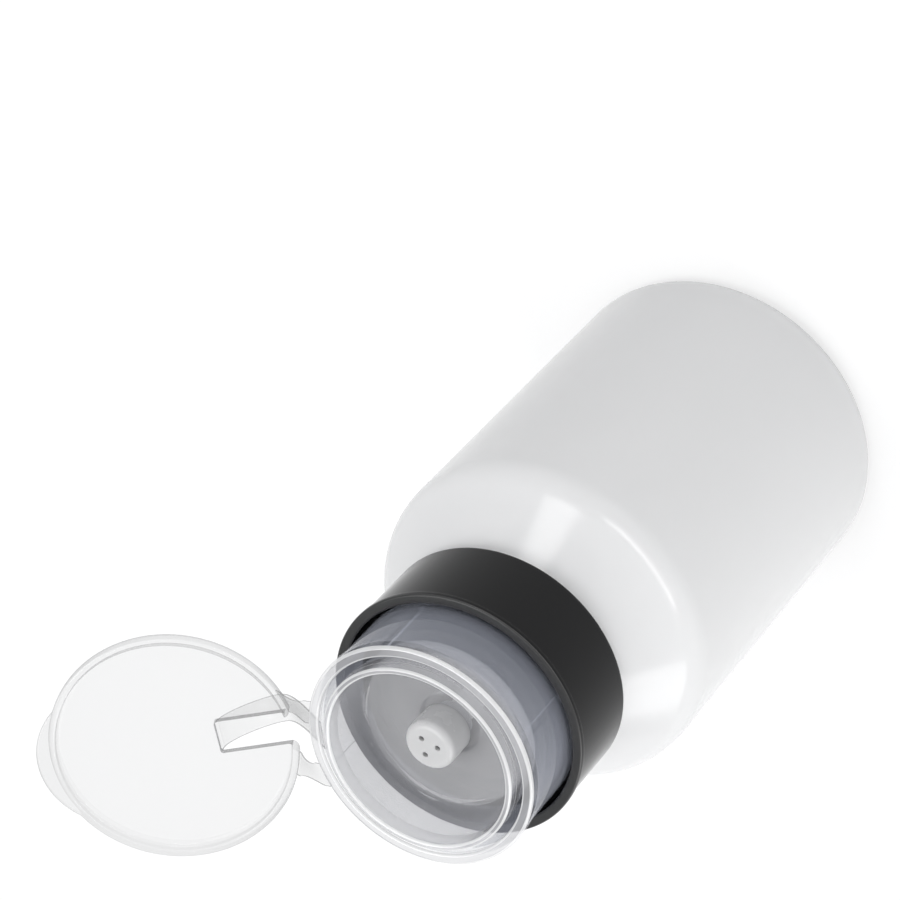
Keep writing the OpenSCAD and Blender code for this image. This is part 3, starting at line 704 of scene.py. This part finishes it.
def cut_with(name, kind, piece, tool):
    """Applies one solid to another for good and removes the tool."""
    work = piece.modifiers.new("work", "BOOLEAN")
    work.operation = kind
    work.solver = "EXACT"
    work.object = tool
    solid = settled(piece)
    piece.modifiers.remove(work)
    piece.data = solid
    solid.name = name
    bpy.data.objects.remove(tool)
    return piece


def crisp(piece, degrees):
    """Smooth faces that keep an edge where the mould has one, shaded by face size."""
    for face in piece.data.polygons:
        face.use_smooth = True
    piece.data.set_sharp_from_angle(angle=math.radians(degrees))
    weighted = piece.modifiers.new("even_shading", "WEIGHTED_NORMAL")
    weighted.keep_sharp = True
    weighted.weight = 60


def rib_tree():
    """Geometry tree that stands equal upright ribs round the axis."""
    tree = bpy.data.node_groups.new("Guide ribs", "GeometryNodeTree")
    for socket, kind in (
        ("Start", "Geometry"), ("Count", "Int"), ("Turn", "Float"), ("Radius", "Float"),
        ("Middle", "Float"), ("Size", "Vector"), ("Finish", "Material"),
    ):
        tree.interface.new_socket(socket, in_out="INPUT", socket_type="NodeSocket" + kind)
    tree.interface.new_socket("Ribs", in_out="OUTPUT", socket_type="NodeSocketGeometry")
    add, link = tree.nodes.new, tree.links.new
    given, out = add("NodeGroupInput"), add("NodeGroupOutput")
    ring = add("GeometryNodeMeshCircle")
    link(given.outputs["Count"], ring.inputs["Vertices"])
    link(given.outputs["Radius"], ring.inputs["Radius"])
    turn_by = add("ShaderNodeCombineXYZ")
    link(given.outputs["Turn"], turn_by.inputs[2])
    lift_by = add("ShaderNodeCombineXYZ")
    link(given.outputs["Middle"], lift_by.inputs[2])
    placed = add("GeometryNodeTransform")
    link(ring.outputs[0], placed.inputs["Geometry"])
    link(turn_by.outputs[0], placed.inputs["Rotation"])
    link(lift_by.outputs[0], placed.inputs["Translation"])
    rib = add("GeometryNodeMeshCube")
    link(given.outputs["Size"], rib.inputs["Size"])
    spots = add("GeometryNodeInstanceOnPoints")
    outward = add("GeometryNodeInputPosition")
    flat = add("ShaderNodeVectorMath")
    flat.operation = "MULTIPLY"
    flat.inputs[1].default_value = (1, 1, 0)
    link(outward.outputs[0], flat.inputs[0])
    face_out = add("FunctionNodeAlignEulerToVector")
    face_out.axis = "X"
    link(flat.outputs[0], face_out.inputs["Vector"])
    link(placed.outputs[0], spots.inputs["Points"])
    link(rib.outputs["Mesh"], spots.inputs["Instance"])
    link(face_out.outputs[0], spots.inputs["Rotation"])
    real = add("GeometryNodeRealizeInstances")
    link(spots.outputs[0], real.inputs["Geometry"])
    finish = add("GeometryNodeSetMaterial")
    link(real.outputs[0], finish.inputs["Geometry"])
    link(given.outputs["Finish"], finish.inputs["Material"])
    link(finish.outputs[0], out.inputs["Ribs"])
    return tree


CLEAR = clear_plastic(
    "clear_cup_plastic", (0.72, 0.755, 0.87), (0.66, 0.695, 0.81), (0.45, 0.46, 0.5), 0.17, 0.6
)
# The dish gets a greyer, hazier copy of the cup's clear plastic, so it shows lighter: painted light.
BOWL_PAINTED_LIGHT = clear_plastic(
    "clear_bowl_painted_light", (0.68, 0.68, 0.7), (0.62, 0.62, 0.64), (0.54, 0.54, 0.56), 0.24, 0.55
)
# The flat faces of the dish floor get a lighter, hazier copy: painted light on the floor of the dish.
DISH_FLOOR_PAINTED_LIGHT = clear_plastic(
    "clear_dish_floor_painted_light", (0.84, 0.84, 0.86), (0.8, 0.8, 0.82), (0.6, 0.6, 0.62), 0.3, 0.6
)
# The ring and lip above the flange get a denser, light grey copy: painted light on their tops.
RIM_PAINTED_LIGHT = clear_plastic(
    "clear_rim_painted_light", (0.62, 0.62, 0.63), (0.56, 0.56, 0.57), (0.45, 0.45, 0.46), 0.45, 0.85
)
# Their rounded edges get a near-white, almost opaque copy: a painted highlight along the ring and lip.
RIM_HIGHLIGHT = clear_plastic("clear_rim_painted_highlight", grey(0.86), grey(0.82), grey(0.7), 0.75, 0.95)
# The rim's upright sides and the flange's faces get a darker, fainter copy: painted shade under the
# rim.
RIM_SIDE_PAINTED_SHADE = clear_plastic(
    "clear_rim_side_painted_shade", (0.5, 0.52, 0.58), (0.45, 0.47, 0.53), (0.3, 0.31, 0.34), 0.06, 0.35
)
cup = turned("clear_cup", [
    (SPIGOT_BORE_R, HUB_Z, 0.2), (SPIGOT_BORE_R, DISH_FLOOR_Z, 0.15),
    (DISH_FLOOR_R, DISH_FLOOR_Z, 2.0), (DISH_R, FLANGE_Z, 0), (DISH_R, RIM_Z + LIP_RISE, 0.45),
    (DISH_R + DISH_WALL, RIM_Z + LIP_RISE, 0.45), (DISH_R + DISH_WALL, FLANGE_TOP, 0.25),
    (RIM_R - RIM_W, FLANGE_TOP, 0.25), (RIM_R - RIM_W, RIM_Z, 0.5), (RIM_R, RIM_Z, 0.6),
    (RIM_R, FLANGE_Z, 0.12), (SKIRT_R, FLANGE_Z, 0.1), (SKIRT_R, SKIRT_Z, 0.3),
    (SKIRT_BORE_R, SKIRT_Z, 0.3), (SKIRT_BORE_R, FLANGE_Z, 0.5), (DISH_R + 1.02, FLANGE_Z, 0.4),
    (DISH_FLOOR_R + DISH_WALL, DISH_FLOOR_Z - DISH_FLOOR_T, 1.4),
    (HUB_R, DISH_FLOOR_Z - DISH_FLOOR_T, 0.3), (HUB_R, HUB_Z, 0.3),
], CLEAR, steps=224)
rib_start = bpy.data.meshes.new("rib_start")
rib_start.from_pydata([(0, 0, 0)], [], [])
ribs = made_solid("guide_ribs", rib_tree(), rib_start, {
    "Count": RIB_COUNT, "Turn": math.radians(RIB_TURN),
    "Radius": (SKIRT_BORE_R - RIB_IN + RIB_T / 2) * MM,
    "Middle": (SKIRT_Z + 0.6 + FLANGE_Z) / 2 * MM,
    "Size": (RIB_T * MM, RIB_W * MM, (FLANGE_Z - SKIRT_Z) * MM), "Finish": CLEAR,
})
cup = cut_with("clear_cup", "UNION", cup, ribs)
paint_light(cup, BOWL_PAINTED_LIGHT, lambda centre, normal: (
    HUB_R < centre.xy.length < DISH_R + DISH_WALL + 0.1 and centre.z < FLANGE_TOP
))
paint_light(cup, DISH_FLOOR_PAINTED_LIGHT, lambda centre, normal: (
    centre.xy.length < DISH_FLOOR_R and centre.z < DISH_FLOOR_Z + 0.5 and abs(normal.z) > 0.7
))
paint_light(cup, RIM_PAINTED_LIGHT, lambda centre, normal: centre.z > FLANGE_TOP + 0.05)
paint_light(cup, RIM_HIGHLIGHT, lambda centre, normal: centre.z > RIM_Z - 0.7 and 0.12 < normal.z < 0.97)
paint_light(cup, RIM_SIDE_PAINTED_SHADE, lambda centre, normal: (
    (centre.xy.length > DISH_R + DISH_WALL / 2 and centre.z > FLANGE_Z and abs(normal.z) < 0.12)
    or centre.xy.length > DISH_R + DISH_WALL
    and (
        (abs(centre.z - FLANGE_TOP) < 0.25 and normal.z > 0.5)
        or (abs(centre.z - FLANGE_Z) < 0.5 and normal.z < 0)
    )
))
crisp(cup, 40)
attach(cup, "push_dish")
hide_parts("dish_cup")

# Nozzle
# A natural white post pressed into the hub, its face drilled by three moulded outlets.
POST, post_shader = moulded("nozzle_white", grey(0.61), grey(0.56), 0.2, 0.3, 0.06)
let_light_in(post_shader, 0.6, 2)
dress("nozzle", POST)

# Flip lid
# The rest of the clear moulding: a thin dished cover with a rounded rim, a notch for the spring
# tongue and a crescent thumb tab. It swings on the two straps and is drawn open.
LID_R, LID_Z, LID_H, LID_PLATE, LID_WALL, LID_ROUND = 20.75, 113.767, 3.0, 1.1, 1.2, 2.2
TAB_OUT, TAB_R, TAB_T, NOTCH_W, NOTCH_IN = 2.2, 12.85, 1.1, 6.0, 7.2
HINGE_Y, HINGE_Z, OPEN_ANGLE = 22.55, 111.747, math.radians(154.4)
LID_CLEAR = clear_plastic(
    "clear_lid_plastic", grey(0.3), grey(0.26), grey(0.2), 0.1, 0.55, 0.04, 0.09
)
# The lid's rim gets a denser copy, lighter face on and darker edge on: painted light and shade on the
# rim.
LID_RIM_LIGHT_AND_SHADE = clear_plastic("clear_lid_rim_light_and_shade", grey(0.4), grey(0.35), grey(0.12), 0.15, 0.9, 0.04, 0.09)
# The notch's cut faces and the straps' side edges get a dark, nearly opaque copy: painted shade lines.
CUT_EDGE_PAINTED_SHADE = clear_plastic(
    "clear_cut_edge_painted_shade", grey(0.16), grey(0.1), grey(0.1), 0.65, 0.8, 0.04, 0.09
)
lid = turned("clear_lid", [
    (0, LID_Z + LID_H, 0), (LID_R, LID_Z + LID_H, LID_ROUND), (LID_R, LID_Z, 0.3),
    (LID_R - LID_WALL, LID_Z, 0.3), (LID_R - LID_WALL, LID_Z + LID_H - LID_PLATE, 0.9),
    (0, LID_Z + LID_H - LID_PLATE, 0),
], LID_CLEAR, steps=224)
tab = turned("thumb_tab", [
    (0, LID_Z, 0), (TAB_R, LID_Z, 0.35), (TAB_R, LID_Z + TAB_T, 0.35), (0, LID_Z + TAB_T, 0),
], LID_CLEAR, steps=160)
tab.data.transform(Matrix.Translation((0, -(LID_R + TAB_OUT - TAB_R) * MM, 0)))
inside_lid = turned("inside_lid", [
    (0, LID_Z - 2, 0), (LID_R - LID_WALL / 2, LID_Z - 2, 0), (LID_R - LID_WALL / 2, LID_Z + 2, 0),
    (0, LID_Z + 2, 0),
], LID_CLEAR, steps=224)
tab = cut_with("thumb_tab", "DIFFERENCE", tab, inside_lid)
lid = cut_with("clear_lid", "UNION", lid, tab)


def plate_cutter(name, outline, low, high):
    """An upright prism over a plan outline (x, y) in mm."""
    form = bmesh.new()
    ring = [form.verts.new((x * MM, y * MM, low * MM)) for x, y in outline]
    base = form.faces.new(ring)
    raised = bmesh.ops.extrude_face_region(form, geom=[base])
    tops = [v for v in raised["geom"] if isinstance(v, bmesh.types.BMVert)]
    bmesh.ops.translate(form, verts=tops, vec=(0, 0, (high - low) * MM))
    bmesh.ops.recalc_face_normals(form, faces=form.faces)
    mesh = bpy.data.meshes.new(name)
    form.to_mesh(mesh)
    form.free()
    cutter = bpy.data.objects.new(name, mesh)
    scene.collection.objects.link(cutter)
    return cutter


FLARE = 1.3
half = NOTCH_W / 2
flare_y = math.sqrt(LID_R ** 2 - (half + FLARE) ** 2) + 0.1
side = [(half, NOTCH_IN + 0.5), (half, flare_y - FLARE)]
side += [
    (half + FLARE * (1 - math.cos(a)), flare_y - FLARE + FLARE * math.sin(a))
    for a in (math.pi / 2 * k / 8 for k in range(1, 9))
]
side += [(half + FLARE, LID_R + 2)]
corner = [
    (half - 0.5 + 0.5 * math.cos(a), NOTCH_IN + 0.5 - 0.5 * math.sin(a))
    for a in (math.pi / 2 * k / 5 for k in range(5, 0, -1))
]
plan = corner + side
plan = plan + [(-x, y) for x, y in reversed(plan)]
notch = plate_cutter("notch", plan, LID_Z - 1, LID_Z + LID_H + 1)
lid = cut_with("clear_lid", "DIFFERENCE", lid, notch)
OPENED = (
    Matrix.Translation((0, HINGE_Y * MM, HINGE_Z * MM))
    @ Matrix.Rotation(-OPEN_ANGLE, 4, "X")
    @ Matrix.Translation((0, -HINGE_Y * MM, -HINGE_Z * MM))
)
paint_light(lid, LID_RIM_LIGHT_AND_SHADE, lambda centre, normal: centre.xy.length > LID_R - LID_WALL - 0.2)
paint_light(lid, CUT_EDGE_PAINTED_SHADE, lambda centre, normal: (
    abs(normal.x) > 0.9 and abs(centre.x) < half + 0.05 and 0 < centre.y < LID_R - LID_WALL
))
lid.data.transform(OPENED)
crisp(lid, 40)
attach(lid, "lid")
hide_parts("lid")

# Hinge straps and spring tongue
# Thin webs of the same moulding that bend each time the lid swings. The tongue bows under the hinge
# line and snaps the lid open or shut.
STRAP_W, STRAP_X, STRAP_T = 4.3, 6.0, 0.45
TONGUE_W, TONGUE_T, TONGUE_BOW, TONGUE_REACH = 5.2, 0.6, 7.8, 8.3


def opened(y, z):
    """A point of the closed lid, in mm, where the open lid has it."""
    y, z = y - HINGE_Y, z - HINGE_Z
    turn_c, turn_s = math.cos(OPEN_ANGLE), math.sin(OPEN_ANGLE)
    return Vector((HINGE_Y + y * turn_c + z * turn_s, HINGE_Z - y * turn_s + z * turn_c))


def bent(a, b, c, d, t):
    """A point and its direction on a smooth bend from a to d."""
    u = 1 - t
    point = a * u ** 3 + b * 3 * u * u * t + c * 3 * u * t * t + d * t ** 3
    along = (b - a) * 3 * u * u + (c - b) * 6 * u * t + (d - c) * 3 * t * t
    return point, along.normalized()


ACROSS = (-1, -0.75, -0.4, 0, 0.4, 0.75, 1)
EDGE_TURN = (0.6, 1.2, 1.9, 2.5)
# Section faces along the middle of each side edge, which take the dark copy: painted shade.
EDGE_MIDDLES_PAINTED_SHADE = (8, 19)


def strip(name, line_at, half_width, middle_x, thickness, steps):
    """A thin strip with rounded edges. line_at(x, s) gives (y, z) and the direction there."""
    form = bmesh.new()
    edge, half_thick = thickness * 0.42, thickness / 2
    rows = []
    for i in range(steps + 1):
        s = i / steps
        wide = half_width(s)
        flat = wide - edge
        section = [(v * flat, half_thick) for v in ACROSS]
        section += [(flat + edge * math.sin(a), half_thick * math.cos(a)) for a in EDGE_TURN]
        section += [(-x, -off) for x, off in section]
        row = []
        for x, off in section:
            across = middle_x + x
            (y, z), (dy, dz) = line_at(across, s)
            spot = (across * MM, (y - dz * off) * MM, (z + dy * off) * MM)
            row.append(form.verts.new(spot))
        rows.append(row)
    count = len(rows[0])
    for lower, upper in zip(rows, rows[1:]):
        for k in range(count):
            ahead = (k + 1) % count
            face = form.faces.new((lower[k], lower[ahead], upper[ahead], upper[k]))
            face.material_index = int(k in EDGE_MIDDLES_PAINTED_SHADE)
    form.faces.new(rows[0])
    form.faces.new(list(reversed(rows[-1])))
    bmesh.ops.recalc_face_normals(form, faces=form.faces)
    mesh = bpy.data.meshes.new(name)
    form.to_mesh(mesh)
    form.free()
    mesh.materials.append(LID_CLEAR)
    mesh.materials.append(CUT_EDGE_PAINTED_SHADE)
    made = bpy.data.objects.new(name, mesh)
    scene.collection.objects.link(made)
    for face in mesh.polygons:
        face.use_smooth = len(face.vertices) == 4
    return made


def strap_line(x, s):
    """The strap's line at x, from the flange's edge to the open lid's rim."""
    start = Vector((math.sqrt(RIM_R ** 2 - x * x) + 0.01, RIM_Z - 0.575))
    end = opened(math.sqrt(LID_R ** 2 - x * x) + 0.01, LID_Z + STRAP_T)
    reach = (end.x - start.x) / 3
    lean = math.pi - OPEN_ANGLE
    first = start + Vector((reach, STRAP_T / 2))
    second = end - Vector((reach * math.cos(lean), -reach * math.sin(lean))) / 2
    return bent(start, first, second, end, s)


def strap_half(s):
    """Half the strap's width: full at both ends and waisted between them."""
    run = strap_line(STRAP_X, 1)[0].x - strap_line(STRAP_X, 0)[0].x
    away = (s - 0.5) * run
    waist = math.sqrt(max(STRAP_W ** 2 - away ** 2, 0))
    return min(STRAP_W / 2, STRAP_W / 2 + STRAP_W * 0.86 - waist)


for label, x in (("left", -STRAP_X), ("right", STRAP_X)):
    strap = strip("strap_" + label, strap_line, strap_half, x, STRAP_T, 28)
    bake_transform(strap)
    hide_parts("hinge_strap_" + label)


def tongue_line(x, s):
    """The tongue's line at x, from the notch's inner end down, round and up to the skirt."""
    root_y = NOTCH_IN + TONGUE_T / 2 + 0.02
    start = opened(root_y, LID_Z + LID_H - LID_PLATE / 2)
    low = Vector((HINGE_Y + TONGUE_REACH, HINGE_Z - TONGUE_BOW))
    end = Vector((math.sqrt(SKIRT_R ** 2 - x * x) + 0.02, FLANGE_Z - TONGUE_T))
    if s < 0.5:
        first = opened(root_y, LID_Z + LID_H + 0.3 * TONGUE_BOW)
        return bent(start, first, low + Vector((0.3 * TONGUE_REACH, 0)), low, 2 * s)
    third = end + Vector((0.4 * TONGUE_REACH, -0.3 * TONGUE_BOW))
    return bent(low, low - Vector((0.27 * TONGUE_REACH, 0)), third, end, 2 * s - 1)


tongue = strip("snap_tongue", tongue_line, lambda s: TONGUE_W / 2, 0.0, TONGUE_T, 56)
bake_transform(tongue)
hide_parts("spring_tongue")
